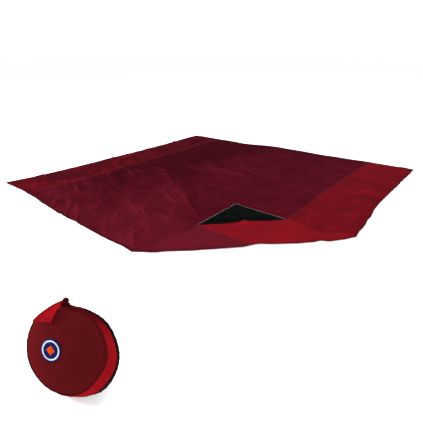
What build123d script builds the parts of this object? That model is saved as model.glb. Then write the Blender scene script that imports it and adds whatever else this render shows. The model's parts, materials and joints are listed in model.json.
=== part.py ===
from build123d import *
import os
from math import cos, radians, sin

# Square beach blanket with one corner folded over, and its round zip pouch.
# Millimetres, +Z up, origin on the ground under the centre of the blanket.

# ---------------------------------------------------------------- blanket sizes
SIDE = 2130.0  # hem to hem, both ways
SIDE_PANEL = 340.0  # width of each of the two outer panels
CLOTH = 1.6  # one layer of cloth with its wrinkles
TRIM = 0.8  # one layer of hem, seam or pocket
HEM = 14.0  # width of the turned hem
SEAM = 12.0  # width of the felled seam
POCKET_LEG = 340.0  # sand pocket, along each edge of its corner
FOLD = 1395.0  # x - y along the line that the corner folds on
FOLD_GAP = 0.5  # cloth left out each side of the fold line
FOLD_AXIS_Z = 6.0  # height of the loose fold's axis

HALF = SIDE / 2
EDGE = HALF - TRIM  # the cloth ends inside the hem's outer leg
SEAM_X = HALF - SIDE_PANEL

# ------------------------------------------------------------------ pouch sizes
POUCH_X, POUCH_Y = 730.5, -1597.3  # middle of the zip line, seen from above
TILT = 66.0  # the pouch's axis from the vertical
HEADING = -64.9  # which way the pouch faces, from +X
RADIUS = 116.5  # outside of the gusset
SKIN = 1.6  # pouch cloth
ZIP_HALF = 5.5  # half the width of the closed zip
GUSSET_TOP = 29.0  # from the zip line to the face
LEAN_X, LEAN_Y = -9.0, 11.5  # how far the soft front sags sideways and up by the time it reaches the face
CROWN = 8.0  # how far the face bulges
FLANK = 50.0  # slope of the back's flank
BACK_DEPTH = 58.0  # how far the back bulges behind the zip
BACK_SHOULDER = 38.0  # radius between the flank and the back's middle
BACK_SHOULDER_DROP = 14.0  # depth that the shoulder takes

COIL_IN, COIL_OUT = 0.7, 2.2  # a zip coil, from the zip line
HINGE_START, HINGE_SWEEP = 121.0, 58.0  # azimuths of the stretch with no zip
ZIP_START, ZIP_SWEEP = 180.0, 300.0  # the zip runs round the rest
SLIDER_AT, SLIDER_SWEEP = 184.0, 7.0

BADGE_AT = (-38.2, -1.5)  # centre of the badge on the face
BADGE_RADIUS = 30.0
TAB_SEAT = GUSSET_TOP + 6.6  # underside of the tab, from the zip line
ANCHOR_TOP = TAB_SEAT - 2.0  # top of the strip that the tab is sewn to, clear of the lifted tab
ANCHOR_START, ANCHOR_SWEEP = 91.0, 9.0  # azimuths of that strip
TAB_ROOT_INNER, TAB_ROOT_OUTER = (-17.0, 116.0), (-9.0, 134.0)  # ends of the tab's root fold

# ------------------------------------------------------------------------ frames
heading = radians(HEADING)
facing = Vector(sin(radians(TILT)) * cos(heading), sin(radians(TILT)) * sin(heading), cos(radians(TILT)))
level = Vector(-sin(heading), cos(heading), 0)
POUCH_Z = RADIUS * sin(radians(TILT)) + ZIP_HALF * cos(radians(TILT))
POUCH = Plane(origin=(POUCH_X, POUCH_Y, POUCH_Z), x_dir=level, z_dir=facing)
POUCH_AXIS = Axis(POUCH.origin, POUCH.z_dir)
FACE = Plane(origin=POUCH.from_local_coords(Vector(LEAN_X, LEAN_Y, 0)), x_dir=level, z_dir=facing)
FACE_AXIS = Axis(FACE.origin, FACE.z_dir)

# The corner's cloth is drawn flat and unfolded on FLAP, which turns it over onto the blanket.
FLAT = Plane.XY
FLAP = Plane(origin=(FOLD, -FOLD, 2 * FOLD_AXIS_Z), x_dir=(0, 1, 0), z_dir=(0, 0, -1))
FOLD_CUT = Plane(origin=(FOLD / 2, -FOLD / 2, 0), z_dir=(1, -1, 0)).offset(-FOLD_GAP)


def cut_at_fold():
    """Keep only what lies on the blanket's side of the fold line."""
    split(bisect_by=FOLD_CUT, keep=Keep.BOTTOM)


def cloth_rectangle(base, x_from, x_to):
    """One cut panel, from x_from to x_to and the full depth of the blanket."""
    with BuildSketch(base) as outline:
        with Locations(((x_from + x_to) / 2, 0)):
            Rectangle(x_to - x_from, 2 * EDGE)
    extrude(outline.sketch, amount=CLOTH)


def corner_triangle(base, side_x, side_y, mode):
    """A triangular layer under the corner whose signs are side_x and side_y."""
    inner = EDGE - POCKET_LEG + TRIM
    corners = [
        (side_x * EDGE, side_y * EDGE),
        (side_x * inner, side_y * EDGE),
        (side_x * EDGE, side_y * inner),
    ]
    with BuildSketch(base) as outline:
        with BuildLine():
            Polyline(corners, close=True)
        make_face()
    extrude(outline.sketch, amount=TRIM, mode=mode)


def hem_side(base, turn):
    """The hem of one side: a leg over the cloth's edge and a leg down beside it, mitred."""
    angle = radians(turn)
    along = base.x_dir * cos(angle) + base.y_dir * sin(angle)
    side = Plane(origin=base.origin, x_dir=along, z_dir=base.z_dir)
    for width, low, high in ((HEM, CLOTH, CLOTH + TRIM), (TRIM, 0, CLOTH)):
        with BuildSketch(side.offset(low)) as outline:
            with BuildLine():
                Polyline(
                    (-HALF, -HALF),
                    (HALF, -HALF),
                    (HALF - width, width - HALF),
                    (width - HALF, width - HALF),
                    close=True,
                )
            make_face()
        extrude(outline.sketch, amount=high - low)


def felled_seam(base, x):
    """The doubled strip where two panels are joined, between the front and back hems."""
    with BuildSketch(base.offset(CLOTH)) as outline:
        with Locations((x, 0)):
            Rectangle(SEAM, 2 * (HALF - HEM))
    extrude(outline.sketch, amount=TRIM)


def save(part, name):
    """Write one sub-part under its own name."""
    part.label = name
    export_step(part, f"parts/{name}.step")


os.makedirs("parts", exist_ok=True)

# --------------------------------------------------------------- blanket: panels
with BuildPart() as centre_panel:
    cloth_rectangle(FLAT, -SEAM_X, SEAM_X)
    cut_at_fold()

with BuildPart() as left_panel:
    cloth_rectangle(FLAT, -EDGE, -SEAM_X)
    corner_triangle(FLAT, -1, -1, Mode.SUBTRACT)
    corner_triangle(FLAT, -1, 1, Mode.SUBTRACT)

with BuildPart() as right_panel:
    cloth_rectangle(FLAT, SEAM_X, EDGE)
    corner_triangle(FLAT, 1, 1, Mode.SUBTRACT)
    cut_at_fold()

# ------------------------------------------------------- blanket: seams and hems
with BuildPart() as left_seam:
    felled_seam(FLAT, -SEAM_X)

with BuildPart() as right_seam:
    felled_seam(FLAT, SEAM_X)
    cut_at_fold()

with BuildPart() as front_hem:
    hem_side(FLAT, 0)
    cut_at_fold()

with BuildPart() as right_hem:
    hem_side(FLAT, 90)
    cut_at_fold()

with BuildPart() as back_hem:
    hem_side(FLAT, 180)

with BuildPart() as left_hem:
    hem_side(FLAT, 270)

# ------------------------------------------------- blanket: sand pockets beneath
with BuildPart() as front_left_pocket:
    corner_triangle(FLAT, -1, -1, Mode.ADD)

with BuildPart() as back_left_pocket:
    corner_triangle(FLAT, -1, 1, Mode.ADD)

with BuildPart() as back_right_pocket:
    corner_triangle(FLAT, 1, 1, Mode.ADD)

# ------------------------------------------------------------ folded-over corner
with BuildPart() as flap_centre_panel:
    cloth_rectangle(FLAP, -SEAM_X, SEAM_X)
    cut_at_fold()

with BuildPart() as flap_side_panel:
    cloth_rectangle(FLAP, SEAM_X, EDGE)
    corner_triangle(FLAP, 1, -1, Mode.SUBTRACT)
    cut_at_fold()

with BuildPart() as flap_seam:
    felled_seam(FLAP, SEAM_X)
    cut_at_fold()

with BuildPart() as flap_front_hem:
    hem_side(FLAP, 0)
    cut_at_fold()

with BuildPart() as flap_right_hem:
    hem_side(FLAP, 90)
    cut_at_fold()

with BuildPart() as flap_pocket:
    corner_triangle(FLAP, 1, -1, Mode.ADD)


# ----------------------------------------------------------------- pouch helpers
def around(azimuth, radius=0.0, height=0.0):
    """A point of the pouch, by azimuth from its level direction, radius and height on its axis."""
    turn = radians(azimuth)
    return POUCH.from_local_coords(Vector(radius * cos(turn), radius * sin(turn), height))


def outward(azimuth):
    """Unit vector away from the pouch's axis at an azimuth."""
    turn = radians(azimuth)
    return POUCH.x_dir * cos(turn) + POUCH.y_dir * sin(turn)


def section_plane(azimuth, axis=POUCH_AXIS):
    """A plane through an axis of the pouch: x is the radius and y the height."""
    away = outward(azimuth)
    return Plane(origin=axis.position, x_dir=away, z_dir=away.cross(POUCH.z_dir))


def ring(radius_from, radius_to, height_from, height_to, start=0.0, sweep=360.0, axis=POUCH_AXIS):
    """A ring, or a stretch of one, about an axis of the pouch."""
    with BuildSketch(section_plane(start, axis)) as outline:
        with Locations(((radius_from + radius_to) / 2, (height_from + height_to) / 2)):
            Rectangle(radius_to - radius_from, height_to - height_from)
    revolve(outline.sketch, axis=axis, revolution_arc=sweep)


def leaning_band(radius_from, radius_to, height_from, height_to, start=0.0, sweep=360.0):
    """A band, or a stretch of one, that leans with the pouch's soft side."""
    lean = Vector(LEAN_X, LEAN_Y, GUSSET_TOP - ZIP_HALF) * (1 / (GUSSET_TOP - ZIP_HALF))
    low = POUCH.from_local_coords(lean * (height_from - ZIP_HALF) + Vector(0, 0, ZIP_HALF))
    slope = (POUCH.from_local_coords(lean) - POUCH.origin) * (height_to - height_from)
    with BuildSketch(Plane(origin=low, x_dir=POUCH.x_dir, z_dir=POUCH.z_dir)) as outline:
        if sweep == 360:
            Circle(radius_to)
        else:
            with BuildLine():
                outer = CenterArc((0, 0), radius_to, start, sweep)
                Line(outer @ 1, (0, 0))
                Line((0, 0), outer @ 0)
            make_face()
        Circle(radius_from, mode=Mode.SUBTRACT)
    extrude(outline.sketch, amount=slope.length, dir=slope)


def crown_layer(low, high):
    """A layer of the bulging face, from low to high above the face's cloth seat."""
    with BuildSketch(section_plane(0, FACE_AXIS)) as outline:
        with BuildLine():
            middle_low, middle_high = GUSSET_TOP + CROWN + low, GUSSET_TOP + CROWN + high
            Line((0, middle_low), (0, middle_high))
            top = RadiusArc((0, middle_high), (RADIUS, GUSSET_TOP + high), CROWN_RADIUS)
            Line(top @ 1, (RADIUS, GUSSET_TOP + low))
            RadiusArc((RADIUS, GUSSET_TOP + low), (0, middle_low), -CROWN_RADIUS)
        make_face()
    revolve(outline.sketch, axis=FACE_AXIS)


def back_bulge(radius, depth):
    """The full back: a sloping flank, a rounded shoulder and a flat middle."""
    flank_length = (depth - BACK_SHOULDER_DROP) / sin(radians(FLANK))
    with BuildSketch(section_plane(0)) as outline:
        with BuildLine():
            flank = PolarLine((radius, -ZIP_HALF), flank_length, 180 + FLANK)
            shoulder = JernArc(flank @ 1, flank % 1, BACK_SHOULDER, -FLANK)
            Line(shoulder @ 1, (0, (shoulder @ 1).Y))
            Line((0, (shoulder @ 1).Y), (0, -ZIP_HALF))
            Line((0, -ZIP_HALF), (radius, -ZIP_HALF))
        make_face()
    revolve(outline.sketch, axis=POUCH_AXIS)


CROWN_RADIUS = (RADIUS**2 + CROWN**2) / (2 * CROWN)

# ------------------------------------------------------------------- pouch: back
with BuildPart() as back_hollow:
    back_bulge(RADIUS - SKIN / sin(radians(FLANK)), BACK_DEPTH - SKIN)

with BuildPart() as pouch_back_panel:
    back_bulge(RADIUS, BACK_DEPTH)
    add(back_hollow.part, mode=Mode.SUBTRACT)

with BuildPart() as hinge_strip:
    ring(RADIUS - SKIN, RADIUS, -ZIP_HALF, 0, HINGE_START, HINGE_SWEEP)

with BuildPart() as zip_back_tape:
    ring(RADIUS - 1.4, RADIUS - 0.2, -ZIP_HALF, -COIL_OUT, ZIP_START, ZIP_SWEEP)

with BuildPart() as zip_back_coil:
    ring(RADIUS - 1.7, RADIUS + 0.3, -COIL_OUT, -COIL_IN, ZIP_START, ZIP_SWEEP)

# ------------------------------------------------------------------ pouch: front
with BuildPart() as gusset:
    leaning_band(RADIUS - SKIN, RADIUS, ZIP_HALF, GUSSET_TOP)
    ring(RADIUS - SKIN, RADIUS, 0.4, ZIP_HALF, HINGE_START, HINGE_SWEEP)

with BuildPart() as zip_front_tape:
    ring(RADIUS - 1.4, RADIUS - 0.2, COIL_OUT, ZIP_HALF, ZIP_START, ZIP_SWEEP)

with BuildPart() as zip_front_coil:
    ring(RADIUS - 1.7, RADIUS + 0.3, COIL_IN, COIL_OUT, ZIP_START, ZIP_SWEEP)

with BuildPart() as pouch_face:
    crown_layer(0, SKIN)

# ------------------------------------------------------------------ pouch: badge
BADGE = Plane(FACE.from_local_coords(Vector(*BADGE_AT, GUSSET_TOP)), POUCH.x_dir, POUCH.z_dir)

with BuildPart() as badge_ground:
    crown_layer(SKIN, SKIN + 0.8)
    with BuildSketch(BADGE):
        Circle(BADGE_RADIUS)
    extrude(amount=2 * CROWN, mode=Mode.INTERSECT)

with BuildPart() as badge_ring:
    crown_layer(SKIN + 0.8, SKIN + 1.3)
    with BuildSketch(BADGE):
        Circle(BADGE_RADIUS - 4)
        Circle(BADGE_RADIUS - 8, mode=Mode.SUBTRACT)
    extrude(amount=2 * CROWN, mode=Mode.INTERSECT)

with BuildPart() as badge_diamond:
    crown_layer(SKIN + 0.8, SKIN + 1.3)
    with BuildSketch(BADGE):
        Rectangle(18, 18, rotation=45)
    extrude(amount=2 * CROWN, mode=Mode.INTERSECT)

# -------------------------------------------------------------------- pouch: tab
with BuildPart() as tab_anchor:
    leaning_band(RADIUS + 0.3, RADIUS + 1.9, GUSSET_TOP - 16, GUSSET_TOP, ANCHOR_START, ANCHOR_SWEEP)
    ring(RADIUS + 0.3, RADIUS + 1.9, GUSSET_TOP, ANCHOR_TOP, ANCHOR_START, ANCHOR_SWEEP, FACE_AXIS)
    ring(RADIUS + 0.3, RADIUS + 17, ANCHOR_TOP - SKIN, ANCHOR_TOP, ANCHOR_START, ANCHOR_SWEEP, FACE_AXIS)

with BuildPart() as carry_tab:
    with BuildSketch(FACE.offset(TAB_SEAT)):
        with BuildLine():
            root = Line(TAB_ROOT_OUTER, TAB_ROOT_INNER)
            inner = ThreePointArc(root @ 1, (-35, 92), (-46, 68))
            end = Line(inner @ 1, (-98, 63))
            ThreePointArc(end @ 1, (-57, 106), root @ 0)
        make_face()
    extrude(amount=SKIN)

# -------------------------------------------------------------- pouch: zip fittings
with BuildPart() as zip_slider:
    ring(RADIUS + 1.1, RADIUS + 1.9, -3, 3, SLIDER_AT, SLIDER_SWEEP)
    ring(RADIUS - 3.2, RADIUS - 2.4, -3, 3, SLIDER_AT, SLIDER_SWEEP)
    ring(RADIUS - 3.2, RADIUS + 1.9, -0.4, 0.4, SLIDER_AT, SLIDER_SWEEP)
    ring(RADIUS + 1.9, RADIUS + 3.1, -1.2, 1.2, SLIDER_AT + 1, SLIDER_SWEEP - 2)

PIN_AT = SLIDER_AT + SLIDER_SWEEP / 2
PULL_LENGTH, PULL_WIDTH, PULL_THICKNESS = 30.0, 6.0, 1.2
pull_centre = around(PIN_AT, RADIUS + 4.2)
PULL = Plane(origin=pull_centre, x_dir=outward(PIN_AT + 90), z_dir=outward(PIN_AT))

with BuildPart() as zip_pull:
    with BuildSketch(PULL.offset(-PULL_THICKNESS / 2)):
        with Locations((PULL_LENGTH / 2, 0)):
            SlotOverall(PULL_LENGTH, PULL_WIDTH)
    extrude(amount=PULL_THICKNESS)

with BuildPart() as zip_stops:
    for azimuth in (ZIP_START + 0.5, ZIP_START + ZIP_SWEEP - 2):
        ring(RADIUS + 0.3, RADIUS + 1.0, -COIL_OUT, -COIL_IN, azimuth, 1.5)

# ------------------------------------------------------------------------ output
pieces = {
    "centre_panel": centre_panel,
    "left_panel": left_panel,
    "right_panel": right_panel,
    "left_seam": left_seam,
    "right_seam": right_seam,
    "front_hem": front_hem,
    "right_hem": right_hem,
    "back_hem": back_hem,
    "left_hem": left_hem,
    "front_left_pocket": front_left_pocket,
    "back_left_pocket": back_left_pocket,
    "back_right_pocket": back_right_pocket,
    "flap_centre_panel": flap_centre_panel,
    "flap_side_panel": flap_side_panel,
    "flap_seam": flap_seam,
    "flap_front_hem": flap_front_hem,
    "flap_right_hem": flap_right_hem,
    "flap_pocket": flap_pocket,
    "pouch_back_panel": pouch_back_panel,
    "hinge_strip": hinge_strip,
    "zip_back_tape": zip_back_tape,
    "zip_back_coil": zip_back_coil,
    "zip_stops": zip_stops,
    "gusset": gusset,
    "pouch_face": pouch_face,
    "zip_front_tape": zip_front_tape,
    "zip_front_coil": zip_front_coil,
    "badge_ground": badge_ground,
    "badge_ring": badge_ring,
    "badge_diamond": badge_diamond,
    "tab_anchor": tab_anchor,
    "carry_tab": carry_tab,
    "zip_slider": zip_slider,
    "zip_pull": zip_pull,
}
for name, piece in pieces.items():
    save(piece.part, name)

# Where the joints are, for the behaviour record.
tab_inner = FACE.from_local_coords(Vector(*TAB_ROOT_INNER, TAB_SEAT))
tab_outer = FACE.from_local_coords(Vector(*TAB_ROOT_OUTER, TAB_SEAT))
for name, point, axis in (
    ("pouch_open", around(150, RADIUS + 0.6, 0.2), outward(240)),
    ("zipper_slide", POUCH.origin, POUCH.z_dir),
    ("pull_swing", pull_centre, POUCH.z_dir * -1),
    ("tab_lift", tab_inner, (tab_outer - tab_inner).normalized()),
):
    print(name, [round(v, 4) for v in point], [round(v, 6) for v in axis])
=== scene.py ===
import json
import math

import bmesh
import bpy
import numpy as np
from numpy import cos, linspace, pi, radians, sin
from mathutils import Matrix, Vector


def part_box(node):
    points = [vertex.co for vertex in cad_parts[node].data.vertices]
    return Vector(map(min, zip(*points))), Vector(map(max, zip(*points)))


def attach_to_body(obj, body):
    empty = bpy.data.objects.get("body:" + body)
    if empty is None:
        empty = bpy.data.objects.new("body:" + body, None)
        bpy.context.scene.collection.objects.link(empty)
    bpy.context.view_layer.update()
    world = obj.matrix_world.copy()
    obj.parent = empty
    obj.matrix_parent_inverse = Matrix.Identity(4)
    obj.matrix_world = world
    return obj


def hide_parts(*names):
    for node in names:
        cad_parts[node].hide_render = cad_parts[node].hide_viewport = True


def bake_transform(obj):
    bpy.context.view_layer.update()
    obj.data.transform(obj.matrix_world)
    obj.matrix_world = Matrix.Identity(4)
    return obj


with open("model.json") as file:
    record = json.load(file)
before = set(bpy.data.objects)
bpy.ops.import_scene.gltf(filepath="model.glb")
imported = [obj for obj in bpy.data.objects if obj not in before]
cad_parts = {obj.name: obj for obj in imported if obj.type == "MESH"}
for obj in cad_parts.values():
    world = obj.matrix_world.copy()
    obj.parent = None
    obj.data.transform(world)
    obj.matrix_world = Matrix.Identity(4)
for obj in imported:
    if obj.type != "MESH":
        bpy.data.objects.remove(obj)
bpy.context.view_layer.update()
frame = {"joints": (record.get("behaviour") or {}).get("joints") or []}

JOINTS = {joint["name"]: joint for joint in frame["joints"]}

# ---- the blanket's sizes, from the frame
HALF = -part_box("left_hem")[0].x
SEAM_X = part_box("centre_panel")[1].x
FOLD = 2 * JOINTS["corner_fold"]["pos_m"][0]  # x - y along the fold line
AXIS_Z = JOINTS["corner_fold"]["pos_m"][2]
POCKET_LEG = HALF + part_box("front_left_pocket")[1].x
SEAM_CROSSING = 2 * SEAM_X - FOLD  # x + y where the right seam meets the fold line
FOLD_ENDS = (FOLD / 2 - HALF, HALF - FOLD / 2)  # half of x + y at both ends of the fold line
BEFORE_FOLD = (1, -1, FOLD)  # cuts for flat_cloth
AFTER_FOLD = (-1, 1, -FOLD)

HEM = 0.014
SEAM_HALF = 0.006
STITCH, STITCH_GAP, STITCH_WIDTH = 0.0026, 0.0011, 0.00026
STRIP_STEP = 0.006  # between the rows of points along a hem or seam
CLOTH_THICKNESS = 0.0004
FLAP_CEILING = 2 * AXIS_Z - 0.0012  # the folded corner stays lower, to lie clear of the ground when unfolded
LOWEST = 0.0003  # the least height above the ground
PITCH = 0.0085  # grid of the cloth
ROOT_2 = math.sqrt(2)


# ---- numeric helpers
def smooth(x, low, high):
    """0 below low, 1 above high, and an even ramp between."""
    t = np.clip((x - low) / (high - low), 0.0, 1.0)
    return t * t * (3.0 - 2.0 * t)


def bell(x, width):
    """1 at zero, falling away evenly on both sides."""
    return np.exp(-((x / width) ** 2))


def bells(x, *humps):
    """The sum of some bells, each with its height, place and width."""
    return sum(height * bell(x - place, width) for height, place, width in humps)


def noise(x, y, scale, seed):
    """Smooth value noise from -1 to 1, with cells of the given size."""
    u, v = np.asarray(x) / scale, np.asarray(y) / scale
    lattice = np.random.default_rng(seed).uniform(-1.0, 1.0, (128, 128))
    iu, iv = np.floor(u).astype(int), np.floor(v).astype(int)
    fu, fv = u - iu, v - iv
    fu, fv = fu * fu * (3 - 2 * fu), fv * fv * (3 - 2 * fv)
    a, b = lattice[iu % 128, iv % 128], lattice[(iu + 1) % 128, iv % 128]
    c, d = lattice[iu % 128, (iv + 1) % 128], lattice[(iu + 1) % 128, (iv + 1) % 128]
    return (a * (1 - fu) + b * fu) * (1 - fv) + (c * (1 - fu) + d * fu) * fv


def unit(vectors):
    """Vectors made 1 long."""
    return vectors / np.linalg.norm(vectors, axis=-1, keepdims=True)


def grid_of(first, second):
    """Two lists of values crossed: both values for every point of a grid, row by row."""
    return (values.ravel() for values in np.meshgrid(first, second, indexing="ij"))


def shares(rows, columns):
    """The shares from 0 to 1 along and across a grid, for each of its points."""
    return grid_of(linspace(0, 1, rows), linspace(0, 1, columns))


def crease_lines(count, region, lengths, widths, heights, angles, seed):
    """Random creases: each is (x, y, angle, half length, width, height)."""
    rng = np.random.default_rng(seed)
    ranges = (region[:2], region[2:], angles, lengths, widths, heights)
    x, y, angle, length, width, height = (rng.uniform(low, high, count) for low, high in ranges)
    return np.stack([x, y, radians(angle), length / 2, width, height], 1)


def crease_height(x, y, creases):
    """Height of a set of creases: each is a soft ridge that bends a little and fades at its ends."""
    z = np.zeros_like(x)
    for cx, cy, angle, half, width, height in creases:
        near = np.where((np.abs(x - cx) < half + 4 * width) & (np.abs(y - cy) < half + 4 * width))[0]
        dx, dy = x[near] - cx, y[near] - cy
        along = dx * cos(angle) + dy * sin(angle)
        fade = 1 - (along / half) ** 2
        across = -dx * sin(angle) + dy * cos(angle) - 0.12 * half * fade * sin(37.0 * cx)
        z[near] += height * np.clip(fade, 0, 1) / (1 + (across / width) ** 2) ** 1.5
    return z


# ---- object and mesh helpers
def add_object(name, data):
    """A new object in the scene."""
    obj = bpy.data.objects.new(name, data)
    bpy.context.scene.collection.objects.link(obj)
    return obj


def mesh_object(name, verts, faces, materials, light=None, face_slots=None):
    """A smooth-shaded mesh. Its materials read light, how light the cloth is drawn at each point or all over:
    painted light and shade as well as the cloth's own tone.
    """
    mesh = bpy.data.meshes.new(name)
    mesh.from_pydata(np.asarray(verts).tolist(), [], [list(map(int, f)) for f in faces])
    mesh.update()
    mesh.polygons.foreach_set("use_smooth", np.ones(len(mesh.polygons), bool))
    for material in materials:
        mesh.materials.append(material)
    if face_slots is not None:
        mesh.polygons.foreach_set("material_index", np.asarray(face_slots, np.int32))
    if light is not None:
        values = np.zeros(len(mesh.vertices), np.float32) + light
        mesh.attributes.new("light", "FLOAT", "POINT").data.foreach_set("value", values.astype(np.float32))
    return add_object(name, mesh)


def attach(obj, body, node=None):
    """Hang a piece on its body's empty, and hide the CAD node that it stands for."""
    if body:
        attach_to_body(obj, body)
    if node:
        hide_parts(node)
    return obj


def grid_faces(rows, columns, close_rows=False, close_columns=False):
    """Quads of a grid of vertices stored row by row."""
    r, c = grid_of(np.arange(rows - (not close_rows)), np.arange(columns - (not close_columns)))
    r2, c2 = (r + 1) % rows, (c + 1) % columns
    return np.stack([r * columns + c, r * columns + c2, r2 * columns + c2, r2 * columns + c], 1)


def tube_faces(rows, columns):
    """Faces of a tube whose rows are closed sections, with both ends capped."""
    faces = grid_faces(rows, columns, close_columns=True).tolist()
    return faces + [list(range(columns))[::-1], list(range((rows - 1) * columns, rows * columns))]


def thicken(obj, thickness=CLOTH_THICKNESS, offset=-1.0, lining=0):
    """Give a sheet its thickness below its drawn side, with the lining's material slot on that side."""
    solid = obj.modifiers.new("thickness", "SOLIDIFY")
    solid.thickness = thickness
    solid.offset = offset
    solid.use_even_offset = False
    solid.material_offset = lining
    return obj


def flat_cloth(x_from, x_to, y_from, y_to, cuts, step=PITCH):
    """A flat grid of cloth and its area. Each cut (a, b, c) keeps what has a * x + b * y <= c."""
    columns = max(2, int(round((x_to - x_from) / step)) + 1)
    rows = max(2, int(round((y_to - y_from) / step)) + 1)
    x, y = np.meshgrid(linspace(x_from, x_to, columns), linspace(y_from, y_to, rows))
    mesh = bpy.data.meshes.new("flat")
    verts = np.stack([x.ravel(), y.ravel(), np.zeros(x.size)], 1)
    mesh.from_pydata(verts.tolist(), [], grid_faces(rows, columns).tolist())
    work = bmesh.new()
    work.from_mesh(mesh)
    bpy.data.meshes.remove(mesh)
    for a, b, c in cuts:
        scale = c / (a * a + b * b)
        bmesh.ops.bisect_plane(
            work,
            geom=work.verts[:] + work.edges[:] + work.faces[:],
            plane_co=(a * scale, b * scale, 0),
            plane_no=(a, b, 0),
            dist=step * 0.02,
            clear_outer=True,
        )
    work.verts.index_update()
    points = np.array([v.co[:] for v in work.verts])
    faces = [[v.index for v in face.verts] for face in work.faces]
    area = sum(face.calc_area() for face in work.faces)
    work.free()
    return points[:, 0], points[:, 1], faces, area


# a stitch's points are its four corners in turn, its top and its bottom
STITCH_FACES = np.array([(i, (i + 1) % 4, 4) for i in range(4)] + [((i + 1) % 4, i, 5) for i in range(4)])


def stitch_mesh(name, starts, ends, up, width, material, depth=0.0004):
    """Sewn stitches: a small lozenge from each start to its end."""
    middle = (starts + ends) / 2
    side = np.cross(unit(ends - starts), up) * width
    corners = [starts - up * 0.0002, middle + side, ends - up * 0.0002, middle - side,
               middle + up * 0.0003, middle - up * depth]
    faces = (STITCH_FACES[None] + 6 * np.arange(len(starts))[:, None, None]).reshape(-1, 3)
    return mesh_object(name, np.stack(corners, 1).reshape(-1, 3), faces, [material])


# ---- the camera
def make_camera():
    """The camera stands about 0.8 m up, off the blanket's near edge, and looks down across it."""
    data = bpy.data.cameras.new("camera")
    data.lens = 28.26
    data.sensor_width = 36.0
    data.clip_end = 200.0
    camera = add_object("camera", data)
    camera.location = (1.399, -1.873, 0.803)
    camera.rotation_euler = (radians(90 - 24.85), 0.0, radians(38.42))
    bpy.context.scene.camera = camera


make_camera()


# ---- materials
def node_of(tree, kind, links=(), **values):
    """A new shader node with some properties and inputs set, and sockets linked to other inputs."""
    node = tree.nodes.new("ShaderNode" + kind)
    for key, value in values.items():
        if hasattr(node, key):
            setattr(node, key, value)
        else:
            node.inputs[key.replace("_", " ")].default_value = value
    for key, socket in dict(links).items():
        tree.links.new(socket, node.inputs[key])
    return node


def ramp_of(tree, source, low, high, low_value, high_value):
    """A map from one socket's range to another range."""
    values = {"From_Min": low, "From_Max": high, "To_Min": low_value, "To_Max": high_value}
    return node_of(tree, "MapRange", {"Value": source}, **values).outputs["Result"]


def math_of(tree, operation, first, second):
    """A sum, or another operation, of two sockets."""
    return node_of(tree, "Math", {0: first, 1: second}, operation=operation).outputs[0]


def bump_of(tree, height, distance, strength, under=()):
    """A bump from a height socket, on top of another normal if one is given."""
    links = {"Height": height, **dict(under)}
    return node_of(tree, "Bump", links, Distance=distance, Strength=strength).outputs["Normal"]


def new_material(name):
    """A material, its node tree, and the socket that says where a point is on its object."""
    material = bpy.data.materials.new(name)
    material.use_nodes = True
    tree = material.node_tree
    return material, tree, {"Vector": node_of(tree, "TexCoord").outputs["Object"]}


def set_shader(tree, dark, light, share, normal, roughness, **values):
    """Give the shader a colour between two by share, a normal, a roughness and other values."""
    shader = tree.nodes["Principled BSDF"]
    colour = node_of(tree, "Mix", data_type="RGBA", A=(*dark, 1), B=(*light, 1))
    tree.links.new(share, colour.inputs["Factor"])
    tree.links.new(colour.outputs["Result"], shader.inputs["Base Color"])
    tree.links.new(normal, shader.inputs["Normal"])
    tree.links.new(roughness, shader.inputs["Roughness"])
    for key, value in values.items():
        shader.inputs[key.replace("_", " ")].default_value = value


RED_SHEEN = (1.0, 0.15, 0.25, 1)


def fabric(name, dark, light, sheen=0.04, tint=RED_SHEEN, yarn=0.0011, crinkle=1.0, crinkle_size=0.03):
    """Thin woven nylon: plain weave, fine crinkles, soft patches of colour, a satin sheen, and the painted
    light and shade of the light attribute.
    """
    material, tree, place = new_material(name)
    patches = node_of(tree, "TexNoise", place, Scale=7.0, Detail=5.0, Roughness=0.6)
    mottle = node_of(tree, "TexNoise", place, Scale=90.0, Detail=3.0)
    ridges = node_of(tree, "TexNoise", place, Scale=1.0 / crinkle_size, Detail=4.0, Roughness=0.55)
    ridges.noise_type = "RIDGED_MULTIFRACTAL"
    warp = node_of(tree, "TexWave", place, bands_direction="X", Scale=0.314 / yarn)
    weft = node_of(tree, "TexWave", place, bands_direction="Y", Scale=0.314 / yarn)
    # the light attribute carries painted light and shade as well as the cloth's own tone; the patches and
    # mottle add random tone
    painted_light_and_tone = node_of(tree, "Attribute", attribute_name="light").outputs["Fac"]
    spread = math_of(tree, "ADD", painted_light_and_tone, ramp_of(tree, patches.outputs["Fac"], 0.35, 0.65, -0.13, 0.13))
    share = math_of(tree, "ADD", spread, ramp_of(tree, mottle.outputs["Fac"], 0.3, 0.7, -0.05, 0.05))
    weave = bump_of(tree, math_of(tree, "MAXIMUM", warp.outputs["Fac"], weft.outputs["Fac"]), 0.00012, 0.35)
    normal = bump_of(tree, ridges.outputs["Fac"], 0.0012, 0.35 * crinkle, {"Normal": weave})
    set_shader(tree, dark, light, share, normal, ramp_of(tree, mottle.outputs["Fac"], 0.3, 0.7, 0.45, 0.57),
               Specular_IOR_Level=0.0, Sheen_Weight=sheen, Sheen_Roughness=0.35, Sheen_Tint=tint)
    return material


def thread(name, dark, light, specular=0.2):
    """Sewing and embroidery thread: fine twisted strands."""
    material, tree, place = new_material(name)
    fibres = node_of(tree, "TexNoise", place, Scale=900.0, Detail=2.0).outputs["Fac"]
    set_shader(tree, dark, light, fibres, bump_of(tree, fibres, 0.0002, 0.5),
               ramp_of(tree, fibres, 0.3, 0.7, 0.5, 0.7), Specular_IOR_Level=specular)
    return material


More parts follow.
